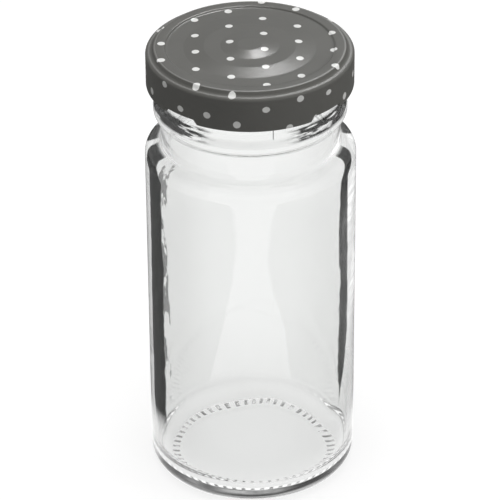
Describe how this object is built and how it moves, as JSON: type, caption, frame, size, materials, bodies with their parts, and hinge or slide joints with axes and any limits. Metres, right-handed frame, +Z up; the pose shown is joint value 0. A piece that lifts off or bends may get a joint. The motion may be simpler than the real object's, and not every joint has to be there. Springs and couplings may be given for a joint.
{
  "type": "spice jar",
  "caption": "Straight-sided clear glass spice jar with a pressed metal lug cap that twists and lifts off, and a sealing ring under the cap.",
  "frame": {"origin": "centre of the foot ring that the jar stands on, on the jar's axis", "axes": "+Z up along the jar's axis, towards the cap; the jar and cap are round about Z, apart from the lugs and threads"},
  "size_m": [0.0522, 0.0522, 0.1192],
  "materials": {
    "clear_glass": "clear, polished soda-lime glass",
    "grey_lacquered_tinplate": "satin dark grey lacquer with small white dots outside, pale lacquer inside",
    "sealing_compound": "matt soft compound"
  },
  "bodies": {
    "jar": {"glass_jar": "clear_glass"},
    "seal": {"sealing_ring": "sealing_compound"},
    "cap": {"cap_shell": "grey_lacquered_tinplate"}
  },
  "joints": [
    {"name": "cap_lift", "type": "slide", "parent": "jar", "child": "seal", "axis": [0, 0, 1], "range_m": [0, 0.036]},
    {"name": "cap_twist", "type": "hinge", "parent": "seal", "child": "cap", "pos_m": [0, 0, 0.1087], "axis": [0, 0, 1], "range_deg": [0, 62]}
  ]
}
